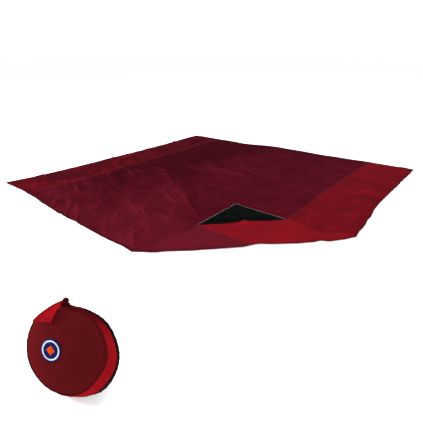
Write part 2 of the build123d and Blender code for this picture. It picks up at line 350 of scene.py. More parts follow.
def hard(name, dark, light, metallic, roughness):
    """Moulded nylon or painted metal: a fine grain and small scuffs."""
    material, tree, place = new_material(name)
    fine = node_of(tree, "TexNoise", place, Scale=300.0, Detail=6.0).outputs["Fac"]
    scuffs = node_of(tree, "TexNoise", place, Scale=50.0, Detail=8.0, Roughness=0.7).outputs["Fac"]
    worn = ramp_of(tree, scuffs, 0.55, 0.72, 0.0, 1.0)
    rough = ramp_of(tree, scuffs, 0.4, 0.7, roughness, roughness + 0.2)
    set_shader(tree, dark, light, worn, bump_of(tree, fine, 0.0001, 0.3), rough,
               Metallic=metallic, Specular_IOR_Level=0.15)
    return material


BURGUNDY = fabric("burgundy_nylon", (0.022, 0.0012, 0.0028), (0.085, 0.0050, 0.0110))
RED = fabric("red_nylon", (0.036, 0.0022, 0.0040), (0.150, 0.0042, 0.0084))
BURGUNDY_HEM = fabric("burgundy_hem", (0.022, 0.0013, 0.0028), (0.070, 0.0040, 0.0090), crinkle=0.5)
RED_HEM = fabric("red_hem", (0.034, 0.0018, 0.0034), (0.110, 0.0034, 0.0064), crinkle=0.5)
SEAM = fabric("seam_nylon", (0.055, 0.0035, 0.0065), (0.105, 0.0080, 0.0130), crinkle=0.6)
POCKET = fabric("pocket_nylon", (0.0016, 0.0018, 0.0018), (0.0036, 0.0039, 0.0039), 0.012, (0.6, 0.7, 0.7, 1),
                crinkle=1.4)
POUCH_RED = fabric("pouch_red_nylon", (0.026, 0.0022, 0.0036), (0.325, 0.0064, 0.0112), crinkle_size=0.012)
POUCH_FACE = fabric("pouch_burgundy_nylon", (0.072, 0.0048, 0.0064), (0.125, 0.0072, 0.0098),
                    crinkle_size=0.015)
LINING = fabric("lining_nylon", (0.030, 0.0016, 0.0025), (0.055, 0.0030, 0.0045), crinkle_size=0.02)
TAPE = fabric("zip_tape", (0.0030, 0.0030, 0.0040), (0.0080, 0.0080, 0.0100), 0.01, (0.7, 0.7, 0.8, 1),
              yarn=0.0007, crinkle=0.2)
RED_THREAD = thread("red_thread", (0.09, 0.004, 0.008), (0.22, 0.012, 0.022))
DARK_THREAD = thread("dark_thread", (0.020, 0.0015, 0.0030), (0.055, 0.0040, 0.0080))
# grey thread for the folded pocket's edge stitches: real stitches whose grey is a painted highlight along the
# pocket's black hem
GREY_HIGHLIGHT_THREAD = thread("grey_thread", (0.16, 0.17, 0.17), (0.36, 0.38, 0.38))
NAVY = thread("navy_thread", (0.0015, 0.0065, 0.050), (0.0040, 0.0150, 0.110), specular=0.02)
WHITE = thread("white_thread", (0.58, 0.60, 0.68), (0.82, 0.84, 0.90))
ORANGE = thread("orange_thread", (0.62, 0.042, 0.002), (0.80, 0.095, 0.006), specular=0.05)
COIL = hard("zip_coil_nylon", (0.0040, 0.0040, 0.0050), (0.0090, 0.0090, 0.0110), 0.0, 0.45)
METAL = hard("zip_black_metal", (0.020, 0.020, 0.021), (0.110, 0.105, 0.100), 0.85, 0.34)


# ---- how the cloth lies
# creases: how many, where, their lengths, widths, heights and angles in degrees, and a seed
FINE, NEAR_LEFT, STREAKS, FAR_LEFT, SIDE_FOLDS, FLAP_CREASES = (crease_lines(*facts) for facts in (
    (420, (-HALF, HALF, -HALF, HALF), (0.08, 0.34), (0.006, 0.011), (0.0010, 0.0036), (0, 180), 11),
    (95, (-SEAM_X, 0.30, -HALF, 0.25), (0.10, 0.36), (0.005, 0.010), (0.0018, 0.0075), (138, 164), 12),
    (70, (-HALF, -SEAM_X, -HALF, HALF), (0.15, 0.50), (0.007, 0.013), (0.0014, 0.0042), (76, 108), 17),
    (60, (-HALF, 0.1, -0.4, 0.9), (0.2, 0.6), (0.008, 0.016), (0.0016, 0.0048), (-25, 30), 13),
    (70, (0.55, HALF, -0.4, HALF), (0.1, 0.4), (0.009, 0.018), (0.0014, 0.0044), (-40, 60), 14),
    (70, (0.3, HALF, -HALF, -0.3), (0.06, 0.24), (0.006, 0.012), (0.0005, 0.0020), (0, 180), 31),
))

PULL_FROM, PULL_TO = np.array([-0.68, 0.09]), np.array([0.37, -0.70])  # the long pull crease


def pull_crease(x, y):
    """Distance across the long crease (positive on the far right), share along it, and its strength there."""
    length = np.linalg.norm(PULL_TO - PULL_FROM)
    along = (PULL_TO - PULL_FROM) / length
    dx, dy = x - PULL_FROM[0], y - PULL_FROM[1]
    share = (dx * along[0] + dy * along[1]) / length
    across = -dx * along[1] + dy * along[0] + 0.035 * sin(share * 5.0) + 0.01 * sin(share * 17.0)
    ends = smooth(share, -0.02, 0.12) * (1 - smooth(share, 0.9, 1.02))
    return across, share, ends


def crinkle_share(across):
    """1 where the cloth is crinkled, to the near left of the long crease, and less on its far side."""
    return 1.0 - 0.72 * smooth(across, -0.04, 0.05)


def blanket_height(x, y):
    """Height of the spread cloth above the ground."""
    across, share, ends = pull_crease(x, y)
    crinkle = crinkle_share(across)
    z = 0.0022 + 0.0022 * (1 + noise(x, y, 0.47, 1)) + 0.0012 * (1 + noise(x, y, 0.19, 2))
    z += 0.0006 * (1 + noise(x, y, 0.07, 3)) * (0.35 + 0.65 * crinkle)
    for creases, strength in ((FINE, 0.3 + 0.7 * crinkle), (NEAR_LEFT, crinkle), (FAR_LEFT, 1),
                              (SIDE_FOLDS, 1), (STREAKS, 1)):
        z += strength * crease_height(x, y, creases)
    z += (0.006 + 0.006 * smooth(share, 0.2, 0.6)) * ends * np.exp(-np.abs(across) / 0.014)
    z += 0.004 * ends * np.exp(-np.abs(across) / 0.07)
    # the cloth lies flatter under the folded corner
    under = smooth(x - y, FOLD - 0.80, FOLD - 0.55) * smooth(x, 0.25, 0.36) * (1 - smooth(y, -0.36, -0.26))
    return z * (1 - 0.85 * under) + 0.0014 * under


def fold_moves(x, y):
    """In-plane moves shared by both sides of the fold line, so that they meet there."""
    depth = np.abs(x - y - FOLD) / ROOT_2
    along = x + y
    near = bell(depth, 0.10)
    # the outward move across the fold line: its edge is drawn in at places
    out = 0.007 + bells(along, (-0.014, 0.11, 0.06), (-0.013, 0.49, 0.03), (0.009, -0.14, 0.24),
                        (0.004, 0.32, 0.06), (-0.005, -0.66, 0.10))
    out -= 0.008 * smooth(along, 0.52, 0.62) + 0.017 * smooth(np.abs(along), 0.60, 0.74)
    out = (out + 0.002 * noise(along, 0 * along, 0.06, 41)) * near / ROOT_2
    # the cloth has slid along the fold where the side seam crosses it
    slid = -0.022 * bell(along - SEAM_CROSSING, 0.26) * bell(depth, 0.30)
    slid += bells(along, (0.010, 0.735, 0.1), (-0.012, -0.735, 0.1)) * near
    return slid + out, slid - out


def blanket_place(x, y):
    """Where the point (x, y) of the flat cloth lies: the outline wanders a few centimetres."""
    u, v = x / HALF, y / HALF
    left, right, front, back = (((1 + side) / 2) ** 4 for side in (-u, u, -v, v))
    move_x = left * (0.004 + 0.010 * cos(2.6 * v) - 0.030 * smooth(-v, 0.75, 1.0))
    move_x += right * (0.006 - 0.021 * bell(v - 0.2, 0.3) + 0.003 * bell(v + 0.3, 0.12))
    move_x += right * 0.014 * smooth(v, 0.6, 1.0)
    move_y = front * (-0.016 + 0.040 * smooth(-u, 0.15, 0.85) - 0.010 * smooth(-u, 0.80, 1.0))
    move_y += back * (0.014 * smooth(u, 0.4, 0.7) - 0.075 * smooth(-u, 0.10, 0.42))
    move_y -= back * 0.022 * smooth(-u, 0.5, 1.0)
    move_y -= front * 0.005 * bell(u - 0.12, 0.16) + back * 0.010 * bell(u - 0.3, 0.15)
    # the seams are not quite straight
    move_x += -0.032 * bell(x + SEAM_X, 0.15) + (0.020 * v - 0.002) * bell(x - SEAM_X, 0.15)
    move_x += (0.0035 * noise(x, y, 0.09, 21) + 0.0015 * noise(x, y, 0.035, 22)) * (left + right)
    move_y += (0.0035 * noise(x, y, 0.09, 23) + 0.0015 * noise(x, y, 0.035, 24)) * (front + back)
    fold_x, fold_y = fold_moves(x, y)
    return np.stack([x + move_x + fold_x, y + move_y + fold_y, blanket_height(x, y)], 1)


def flap_place(x, y):
    """Where the point (x, y) of the flat cloth lies once the corner is folded over."""
    over_x, over_y = y + FOLD, x - FOLD
    depth = (x - y - FOLD) / (2 * HALF - FOLD)  # 0 at the fold, 1 at the tip
    drawn_in = smooth(depth, 0.0, 0.6)
    move_y = -0.020 * drawn_in - 0.015 * bell(x - SEAM_X, 0.12) * smooth(depth, 0.0, 0.3)
    # the far edge droops towards the fold between the pocket and the fold's end
    move_y -= 0.035 * bell(y + 0.50, 0.07) * bell(HALF - x, 0.10) * smooth(depth, 0.02, 0.2)
    fold_x, fold_y = fold_moves(x, y)
    low = blanket_height(over_x, over_y) + 0.0012
    rise = 0.78 - 0.62 * smooth(depth, 0.0, 0.34)
    rise += 0.10 * noise(x, y, 0.16, 33) + 0.05 * noise(x, y, 0.06, 34)
    rise += 90 * crease_height(x, y, FLAP_CREASES) * smooth(depth, 0.02, 0.1)
    # a raised fold runs from the pocket's mouth to the far end of the fold
    rise += 0.45 * bell((x - 0.95) + 0.35 * (y + 0.6), 0.025) * bell(y + 0.62, 0.16)
    room = np.maximum(FLAP_CEILING - low, 0.001)
    z = low + room * (1 - np.exp(-1.6 * np.clip(rise, 0.03, 2.0)))
    return np.stack([over_x + 0.048 * drawn_in + fold_x, over_y + move_y + fold_y, z], 1)


def light_of_blanket(x, y):
    """How light the cloth is drawn, in painted light and shade: more where it is near, crinkled or creased,
    less where far or smooth, and darker to the left.
    """
    across, share, ends = pull_crease(x, y)
    crinkle = crinkle_share(across)
    # painted light and shade: a painted sheen lighter towards the near corner and on the crinkled side of the
    # long crease, painted shade darker on the left and the far side; the left panel's noise is random tone
    near = smooth(-(x + y), -0.9, 1.5)
    centre = 0.32 + 0.32 * near * (1 - smooth(across, -0.03, 0.08)) - 0.38 * smooth(-x, 0.0, 0.7)
    centre += 0.14 * smooth(x, 0.1, 0.9) + 0.34 * smooth(-(x + y), 1.0, 1.6) - 0.08 * smooth(y - x, 0.4, 1.2)
    centre += 0.22 * smooth(x, -0.1, 0.25) * smooth(-y, 0.6, 0.9) - 0.06 * smooth(y, 0.2, 0.9)
    left = -0.24 + 0.46 * near + 0.22 * noise(x, y, 0.11, 15) + 0.16 * noise(x * 0.5 + y, y * 0.3, 0.035, 16)
    right = 0.49 + 0.04 * smooth(y, 0.3, 0.9)
    light = np.where(x < -SEAM_X, left, np.where(x > SEAM_X, right, centre))
    # painted highlights along the ridges of the creases
    for creases, strength in ((FINE, 24 + 36 * crinkle), (NEAR_LEFT, 55 * crinkle), (FAR_LEFT, 60),
                              (SIDE_FOLDS, 40), (STREAKS, 55)):
        light += strength * crease_height(x, y, creases)
    # painted shade, darker to the left, which offsets the key lamp
    light -= 0.06 + 0.19 * smooth(-x, 0.0, 0.5)
    # a painted highlight along the long pull crease
    return light + 0.13 * ends * smooth(share, 0.1, 0.6) * np.exp(-np.abs(across + 0.004) / 0.009)


def light_of_flap(x, y):
    """The folded corner is drawn lighter than the spread cloth and a little darker towards its right part,
    with painted highlights along its creases.
    """
    return 0.92 - 0.09 * smooth(x, 0.7, 0.8) + 70 * crease_height(x, y, FLAP_CREASES)


def body_of(node):
    """The body that one of the blanket's nodes is on."""
    return "corner_flap" if node.startswith("flap_") else "blanket"


PLACES = {"blanket": blanket_place, "corner_flap": flap_place}
LIGHTS = {"blanket": light_of_blanket, "corner_flap": light_of_flap}


def make_panels():
    """The three panels of the spread blanket and the two pieces of the folded corner."""
    for node, x_from, x_to, y_to, cuts in (
        ("centre_panel", -SEAM_X, SEAM_X, HALF, [BEFORE_FOLD]),
        ("left_panel", -HALF, -SEAM_X, HALF, []),
        ("right_panel", SEAM_X, HALF, HALF, [BEFORE_FOLD]),
        ("flap_centre_panel", FOLD - HALF, SEAM_X, SEAM_X - FOLD, [AFTER_FOLD]),
        ("flap_side_panel", SEAM_X, HALF, HALF - FOLD, [AFTER_FOLD]),
    ):
        body = body_of(node)
        material, slot = (BURGUNDY, "burgundy_cloth") if "centre" in node else (RED, "red_cloth")
        x, y, faces, area = flat_cloth(x_from, x_to, -HALF, y_to, cuts)
        obj = mesh_object(node + "_cloth", PLACES[body](x, y), faces, [material], LIGHTS[body](x, y))
        attach(thicken(obj), body, node)


def fold_points(s, turn, lift=0.0):
    """Points of the cloth where it turns over: s runs along the fold, turn from 0 below to 1 above."""
    x, y = s + FOLD / 2, s - FOLD / 2
    low, high = blanket_place(x, y), flap_place(x, y)
    out = np.array([math.sqrt(0.5), -math.sqrt(0.5), 0.0])
    bulge = 0.0070 + 0.0009 * noise(s, 0 * s, 0.05, 51)
    up = unit(high - low)
    level, over = cos(pi * turn)[:, None], sin(pi * turn)[:, None]
    point = (low + high) / 2 - (high - low) / 2 * level + out * bulge[:, None] * over
    return point + np.asarray(lift)[..., None] * (out * over - up * level)


def attach_fold(obj):
    """Apply a fold piece's transform to its mesh; it hangs on no body."""
    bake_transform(obj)
    return obj


def make_fold():
    """The strip of cloth that turns over, in the colours of the two panels that it crosses."""
    crossing = SEAM_CROSSING / 2
    for name, s_from, s_to, material, slot in (
        ("fold_centre", FOLD_ENDS[0], crossing, BURGUNDY, "burgundy_cloth"),
        ("fold_side", crossing, FOLD_ENDS[1], RED, "red_cloth"),
    ):
        rows, columns = int((s_to - s_from) / 0.004), 11
        s, turn = grid_of(linspace(s_from, s_to, rows), linspace(0, 1, columns))
        # painted light: the strip is drawn lighter all over to offset the shade on its lower half; the noise
        # adds random tone
        light = 0.75 + 0.15 * noise(s, turn, 0.03, 52)
        obj = mesh_object(name, fold_points(s, turn), grid_faces(rows, columns), [material], light)
        thicken(attach_fold(obj))


def fold_crossing(name, s_at, width, material):
    """A raised strip that crosses the fold, where a hem or seam turns over with the cloth."""
    # the section: share of the width, and millimetres up
    across, lift = np.transpose([(-0.5, 0.1), (-0.47, 0.6), (-0.3, 0.8), (0.3, 0.8), (0.47, 0.6), (0.5, 0.1),
                                 (0.47, -0.4), (-0.47, -0.4)])
    rows, columns = 11, len(across)
    turn, across = grid_of(linspace(0, 1, rows), across)
    verts = fold_points(s_at + across * width, turn, np.tile(lift, rows) / 1000)
    verts[:, 2] = np.maximum(verts[:, 2], LOWEST)
    return attach_fold(mesh_object(name, verts, tube_faces(rows, columns), [material], 0.4))


def make_fold_crossings():
    """The seam and the two hems where they turn over with the corner."""
    hem = HEM / 2
    return [
        fold_crossing("fold_seam", SEAM_CROSSING / 2, 2 * SEAM_HALF, SEAM),
        fold_crossing("fold_front_hem", FOLD_ENDS[0] + hem / 2, hem, BURGUNDY_HEM),
        fold_crossing("fold_right_hem", FOLD_ENDS[1] - hem / 2, hem, RED_HEM),
    ]


# ---- hems, seams and pockets
# each section's points are in millimetres: in from the edge or across the seam, and up from the cloth
HEM_SECTION = (
    (14.0, 0.35), (13.4, 0.85), (9.0, 0.95), (4.0, 1.0), (1.4, 1.3), (-0.3, 1.2), (-1.2, 0.3),
    (-0.9, -0.9), (0.8, -1.3), (4.0, -1.05), (13.4, -0.95), (14.0, -0.6),
)
SEAM_SECTION = (
    (-6.0, -0.3), (-5.5, 0.5), (-4.4, 0.7), (-2.0, 0.85), (2.0, 0.85), (4.4, 0.7), (5.5, 0.5), (6.0, -0.3),
)
MOUTH_SECTION = ((-1.0, -0.3), (-1.2, 0.3), (-0.4, 0.8), (3.0, 0.6), (9.0, 0.5), (10.0, 0.0), (9.0, -0.3))
HEM_ROWS = (0.0030, 0.0115)  # where the rows of stitches run
SEAM_ROWS = (-0.0042, 0.0042)


def strip_tube(name, section, flat_at, place, materials, light, rows=None, slot_of=None):
    """A closed raised strip: flat_at(share, across) gives flat points for each point of the section."""
    if rows is None:
        x, y = flat_at(np.array([0.0, 1.0]), np.zeros(2))
        rows = int(math.hypot(x[1] - x[0], y[1] - y[0]) / STRIP_STEP) + 2
    across, lift = np.array(section).T / 1000
    share, across = grid_of(linspace(0, 1, rows), across)
    lift = np.tile(lift, rows)
    x, y = flat_at(share, across)
    inside_x, inside_y = np.clip(x, -HALF, HALF), np.clip(y, -HALF, HALF)
    verts = place(inside_x, inside_y)
    beyond = [x - inside_x, y - inside_y]
    if place is flap_place:
        beyond.reverse()
    verts[:, 0] += beyond[0]
    verts[:, 1] += beyond[1]
    verts[:, 2] = np.maximum(verts[:, 2] + lift, LOWEST)
    faces = tube_faces(rows, len(section))
    slots = None if slot_of is None else [slot_of(x[f[0]], y[f[0]], lift[f[0]]) for f in faces]
    return mesh_object(name, verts, faces, materials, light, slots)


def stitches(name, rows, place, material, lift, length=STITCH, gap=STITCH_GAP, width=STITCH_WIDTH):
    """Rows of sewn stitches, each row between a pair of flat end points."""
    starts, ends = [], []
    for low, high in np.array(rows):
        run = math.hypot(*(high - low))
        at = np.arange(max(1, int(run / (length + gap)))) * (length + gap) / run
        starts.append(low + np.outer(at, high - low))
        ends.append(low + np.outer(at + length / run, high - low))
    up = np.array([0, 0, 1.0])
    starts, ends = (place(*np.concatenate(points).T) + up * lift for points in (starts, ends))
    return stitch_mesh(name, starts, ends, up, width, material)


def hem_flat(side, start, end):
    """Flat points of a hem. Its ends are "mitre" at a corner of the blanket or "fold" at the fold line."""
    def flat_at(share, across):
        at_start = {"mitre": -HALF + across, "fold": FOLD - HALF + across}[start]
        at_end = {"mitre": HALF - across, "fold": FOLD - HALF + across}[end]
        along = at_start + (at_end - at_start) * share
        edge = HALF - across
        return {
            "front": (along, -edge), "back": (along, edge), "left": (-edge, along), "right": (edge, -along),
        }[side]
    return flat_at


def seam_flat(seam_x, ends_at):
    """Flat points of a seam, whose ends_at(across) gives its two ends."""
    def flat_at(share, across):
        low, high = ends_at(across)
        return seam_x + across, low + (high - low) * share
    return flat_at


def flap_hem_slot(x, y, up):
    """The corner's hem has its panel's colour, or the pocket's on the side that shows beside the pocket."""
    return 2 if up > 0 and x - y > 2 * HALF - POCKET_LEG else int(x > SEAM_X)


def make_hems():
    """Turned hems on every edge, each with its stitches."""
    made = []
    for node, side, start, end in (
        ("front_hem", "front", "mitre", "fold"),
        ("back_hem", "back", "mitre", "mitre"),
        ("left_hem", "left", "mitre", "mitre"),
        ("right_hem", "right", "mitre", "fold"),
        ("flap_front_hem", "front", "fold", "mitre"),
        ("flap_right_hem", "right", "fold", "mitre"),
    ):
        body = body_of(node)
        look = ([BURGUNDY, RED, POCKET], 0.75, None, flap_hem_slot)
        if body == "blanket":
            look = ([BURGUNDY_HEM, RED_HEM], 0.5, None, lambda x, y, up: int(abs(x) > SEAM_X))
        flat_at = hem_flat(side, start, end)
        hem = strip_tube(node + "_cloth", HEM_SECTION, flat_at, PLACES[body], *look)
        attach(hem, body, node)
        rows = [np.stack(flat_at(np.array([0.001, 0.999]), np.full(2, across)), 1) for across in HEM_ROWS]
        sewn = stitches(node + "_stitches", rows, PLACES[body], DARK_THREAD, 0.0010)
        made += [hem, attach(sewn, body)]
    return made


def make_seams():
    """The felled seams between the panels, each with two rows of stitches."""
    made = []
    end = HALF - HEM + 0.001
    for node, seam_x, ends_at in (
        ("left_seam", -SEAM_X, lambda across: (-end, end)),
        ("right_seam", SEAM_X, lambda across: (SEAM_X + across - FOLD, end)),
        ("flap_seam", SEAM_X, lambda across: (-end, SEAM_X + across - FOLD)),
    ):
        body, flat_at = body_of(node), seam_flat(seam_x, ends_at)
        seam = strip_tube(node + "_cloth", SEAM_SECTION, flat_at, PLACES[body], [SEAM], 0.5)
        attach(seam, body, node)
        rows = []
        for across in SEAM_ROWS:
            low, high = ends_at(across)
            rows.append(((seam_x + across, low + 0.001), (seam_x + across, high - 0.001)))
        sewn = stitches(node + "_stitches", rows, PLACES[body], RED_THREAD, 0.0009)
        made += [seam, attach(sewn, body)]
    return made


def pocket_lift(x, y, deep):
    """The pocket's gap from the cloth: none at its sewn edges, more inside and at its mouth."""
    inset = np.minimum(HALF - np.abs(x), HALF - np.abs(y))
    return 0.0005 + deep * smooth(inset, 0.0, 0.05)


def under_place(x, y):
    """Where a pocket under the spread blanket lies."""
    verts = blanket_place(x, y)
    verts[:, 2] = np.maximum(verts[:, 2] - 0.0001 - pocket_lift(x, y, 0.0008), 0.0008)
    return verts


def flap_pocket_place(x, y):
    """Where the pocket on the folded corner lies: it shows, wrinkled, on top of the turned cloth."""
    verts = flap_place(x, y)
    mouth = (x - y) - (2 * HALF - POCKET_LEG)  # distance from the mouth, times the root of 2
    along = (x + y) / 2
    lift = pocket_lift(x, y, 0.0016) + 0.0007 * (1 + noise(x, y, 0.05, 61)) * smooth(mouth, 0.0, 0.05)
    verts[:, 2] = np.minimum(verts[:, 2] + lift, 2 * AXIS_Z - 0.0002)
    # the mouth is drawn back where the red cloth puckers, and wanders a little
    back = 0.028 * np.exp(-np.abs(along - 0.012) / 0.013) + 0.006 * noise(along, 0 * along, 0.05, 62)
    back = back * bell(mouth, 0.05) / ROOT_2
    verts[:, 0] -= back
    verts[:, 1] += back
    return verts


def make_pocket(node, side_x, side_y):
    """A triangular sand pocket, open along its long side, with a turned mouth and sewn edges."""
    body = body_of(node)
    place, up = (under_place, -1) if body == "blanket" else (flap_pocket_place, 1)
    corner = HALF - POCKET_LEG
    ranges = [limit for side in (side_x, side_y) for limit in sorted((side * (HALF - 0.0015), side * corner))]
    x, y, faces, area = flat_cloth(*ranges, [(-side_x, -side_y, POCKET_LEG - 2 * HALF)], 0.007)
    obj = mesh_object(node + "_cloth", place(x, y), faces, [POCKET], 0.4 + 0.5 * noise(x, y, 0.045, 63))
    attach(thicken(obj, 0.00035), body, node)

    def mouth_at(share, across):
        x_at = corner + POCKET_LEG * share + across * 0.7
        return side_x * x_at, side_y * (HALF - POCKET_LEG * share + across * 0.7)

    section = [(across, lift * up) for across, lift in MOUTH_SECTION]
    mouth = strip_tube(node + "_mouth", section, mouth_at, place, [POCKET], 0.75, rows=60)
    trims = [attach(mouth, body)]
    if body == "corner_flap":
        # the grey stitches along the pocket's two sewn edges are also a painted highlight on its black hem
        tip = (side_x * (HALF - 0.0022), side_y * (HALF - 0.0022))
        rows = [((side_x * corner, tip[1]), tip), ((tip[0], side_y * corner), tip)]
        sewn = stitches(node + "_stitches", rows, place, GREY_HIGHLIGHT_THREAD, 0.0016, 0.016, -0.007, 0.0011)
        trims.append(attach(sewn, body))


def make_blanket():
    """Every piece of the blanket: its hems, seams and fold crossings, its panels, the fold and the four
    pockets.
    """
    sewn, crossings = make_hems() + make_seams(), make_fold_crossings()
    make_panels()
    make_fold()
    for node, side_x, side_y in (
        ("front_left_pocket", -1, -1),
        ("back_left_pocket", -1, 1),
        ("back_right_pocket", 1, 1),
        ("flap_pocket", 1, -1),
    ):
        make_pocket(node, side_x, side_y)


make_blanket()


# ---- the pouch's frame
# Round the pouch, 0 degrees is along RIGHT, 90 is up, and 180 to 360 go under it. Its depth runs along AXIS.
MM = 0.001
ZIP = JOINTS["zipper_slide"]
CENTRE, AXIS = np.array(ZIP["pos_m"]), np.array(ZIP["axis"])
RIGHT = unit(np.cross((0.0, 0.0, 1.0), AXIS))
UP = np.cross(AXIS, RIGHT)
RADIUS = 116.5 * MM
ZIP_HALF, GUSSET_TOP, FACE_TOP = 5.5 * MM, 29 * MM, 30.2 * MM  # heights from the zip's middle
CROWN = 8 * MM
LEAN = -9.0 * MM * RIGHT + 11.5 * MM * UP  # how far the soft front sags by the time it reaches the face
FACE_CENTRE = CENTRE + LEAN
HINGE_FROM, HINGE_TO = 121.0, 179.0  # degrees: the stretch with no zip
ZIP_FROM, ZIP_TO = 180.0, 480.0
SLIDER_AT = 187.5
COIL_PITCH = 1.4 * MM
BADGE_MIDDLE = sum(np.array(corner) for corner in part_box("badge_ground")) / 2 - FACE_CENTRE
BADGE_U, BADGE_V = BADGE_MIDDLE @ RIGHT, BADGE_MIDDLE @ UP


def round_bells(azimuth, *humps):
    """The sum of some bells round the pouch, each with its height, azimuth and width in degrees."""
    return sum(height * bell((azimuth - at + 180.0) % 360.0 - 180.0, width) for height, at, width in humps)


def away_from(azimuth):
    """The direction out from the pouch's axis."""
    turn = radians(azimuth)
    return cos(turn)[..., None] * RIGHT + sin(turn)[..., None] * UP


def pouch_point(azimuth, radius, height):
    """World points of the pouch: azimuth in degrees, radius from its axis, height along it."""
    # the full back bulges out past the side band at the lower right
    below = np.clip((ZIP_HALF - height) / (2 * ZIP_HALF), 0, 1) * np.clip(radius / RADIUS, 0, 1)
    radius = np.asarray(radius + round_bells(azimuth, (6.0 * MM, 318.0, 28.0)) * below)[..., None]
    height = np.asarray(height)[..., None]
    leaning = np.clip((height - ZIP_HALF) / (GUSSET_TOP - ZIP_HALF), 0, 1) * LEAN
    point = CENTRE + radius * away_from(azimuth) + height * AXIS + leaning
    # pressed flat where it stands on the ground
    point[..., 2] = np.maximum(point[..., 2], LOWEST)
    return point


def face_point(u, v, height):
    """World points from places in the face's plane."""
    return FACE_CENTRE + np.outer(u, RIGHT) + np.outer(v, UP) + np.outer(height, AXIS)


def crown(share):
    """How far the face swells out at a share of the radius."""
    return CROWN * (1 - share**2.4)


def ring_noise(azimuth, height, scale, seed):
    """Noise that meets itself round the pouch."""
    turn = radians(azimuth)
    return noise(cos(turn) * RADIUS * 1.3 + height, sin(turn) * RADIUS * 1.3 - height, scale, seed)


def outline(azimuth):
    """The pouch is not quite round: how far its rim stands in or out."""
    turn = radians(azimuth)
    waves = 0.0016 * cos(2 * turn + 0.7) + 0.0013 * cos(3 * turn - 1.1) + 0.0008 * cos(7 * turn)
    return waves + round_bells(azimuth, (-0.0020, 320.0, 24.0), (-0.0030, 260.0, 24.0))


def face_outline(azimuth):
    """How far the face's own rim stands in or out: its cloth is drawn in below and at the lower right."""
    return outline(azimuth) + round_bells(
        azimuth, (-0.0060, 340.0, 50.0), (-0.0028, 318.0, 26.0), (-0.0012, 262.0, 22.0),
        (-0.0028, 157.0, 16.0), (0.0016, 62.0, 16.0))


def rim_pucker(azimuth, seed=71):
    """Small gathers along a sewn rim."""
    turn = radians(azimuth)
    return sin(turn * 43 + 2.5 * sin(turn * 5)) * (0.6 + 0.4 * ring_noise(azimuth, 0 * azimuth, 0.02, seed))


def side_rim(azimuth):
    """The radius of the rim at the zip."""
    return RADIUS + outline(azimuth) + 0.0006 * rim_pucker(azimuth)


def face_rim(azimuth):
    """The radius of the face's rim."""
    return RADIUS + face_outline(azimuth) + 0.0006 * rim_pucker(azimuth)


def stretched(azimuth):
    """1 where the side band is pulled tight, at the lower right, and 0 where it is slack."""
    return round_bells(azimuth, (1.0, 322.0, 32.0))


# ---- the pouch's cloth
def around_grid(start, stop, columns, across, closed):
    """Azimuths and the across value for every point of a band."""
    across, azimuth = grid_of(across, linspace(start, stop, columns, endpoint=not closed))
    return azimuth, across


def shell(name, verts, columns, material, light, thickness=1.2 * MM, closed=True, lined=True):
    """A pouch panel: a grid of points round the axis with thickness, and its lining on the inside."""
    faces = grid_faces(len(verts) // columns, columns, close_columns=closed)
    obj = mesh_object(name, verts, faces, [material, LINING] if lined else [material], light)
    return thicken(obj, thickness, lining=int(lined))


def close_middle(obj, ring):
    """Close the small hole that the innermost ring of points leaves in the middle."""
    work = bmesh.new()
    work.from_mesh(obj.data)
    work.verts.ensure_lookup_table()
    work.faces.new([work.verts[i] for i in ring]).smooth = True
    bmesh.ops.recalc_face_normals(work, faces=work.faces[:])
    work.to_mesh(obj.data)
    work.free()


def make_face():
    """The round front: soft, a little crowned, gathered at its sewn rim."""
    columns = 240
    rings = np.concatenate([linspace(0.004, 0.9, 30), linspace(0.915, 1.0, 9)])
    azimuth, share = around_grid(0, 360, columns, rings, True)
    radius = share * (RADIUS + face_outline(azimuth) - 0.0004)
    u, v = radius * cos(radians(azimuth)), radius * sin(radians(azimuth))
    clear = smooth(np.hypot(u - BADGE_U, v - BADGE_V), 0.029, 0.046)  # the badge holds the cloth smooth
    height = FACE_TOP + crown(share) + 0.0016 * noise(u, v, 0.055, 72) * (1 - share) * clear
    height += 0.0007 * rim_pucker(azimuth) * smooth(share, 0.72, 0.97) - 0.0022 * smooth(share, 0.93, 1.0)
    height += 0.0009 * noise(u * 1.4 + v, v, 0.024, 73) * (1 - share**2) * clear
    # painted light: the face is drawn lighter on its left side and towards its domed rim
    light = 0.28 + 0.25 * smooth(-u, 0.02, 0.11) + 0.18 * smooth(np.hypot(u, v), 0.07, 0.11)
    obj = shell("pouch_front_face", pouch_point(azimuth, radius, height), columns, POUCH_FACE, light)
    attach(obj, "pouch_front", "pouch_face")
    close_middle(obj, range(columns)[::-1])


def make_gusset():
    """The side band, slack and creased between its two sewn rims."""
    columns = 300
    azimuth, share = around_grid(0, 360, columns, linspace(0, 1, 17), True)
    bottom = np.where((azimuth > HINGE_FROM) & (azimuth < HINGE_TO), 0.0006, ZIP_HALF)
    slack = sin(pi * share) * (1 - 1.1 * stretched(azimuth))
    rim = outline(azimuth) * (1 - share) + face_outline(azimuth) * share
    radius = RADIUS + rim + 0.0034 * slack + 0.0007 * rim_pucker(azimuth) * (1 - 0.5 * slack)
    radius += 0.0022 * ring_noise(azimuth, 0.4 * share * GUSSET_TOP, 0.035, 74) * slack
    radius += 0.0010 * ring_noise(azimuth, 2.0 * share * GUSSET_TOP, 0.014, 75) * slack
    verts = pouch_point(azimuth, radius, bottom + (GUSSET_TOP + 0.0004 - bottom) * share)
    # painted shade: the side band is drawn dark at its upper right; the noise adds random tone
    light = 0.84 - 0.82 * bell(azimuth - 64.0, 28.0)
    light += 0.12 * ring_noise(azimuth, share * GUSSET_TOP, 0.03, 76)
    # a painted highlight along the band next to the face's rim
    light += (0.04 + 0.22 * bell(azimuth - 36.0, 20.0)) * smooth(share, 0.7, 1)
    obj = shell("pouch_side_band", verts, columns, POUCH_RED, light)
    attach(obj, "pouch_front", "gusset")


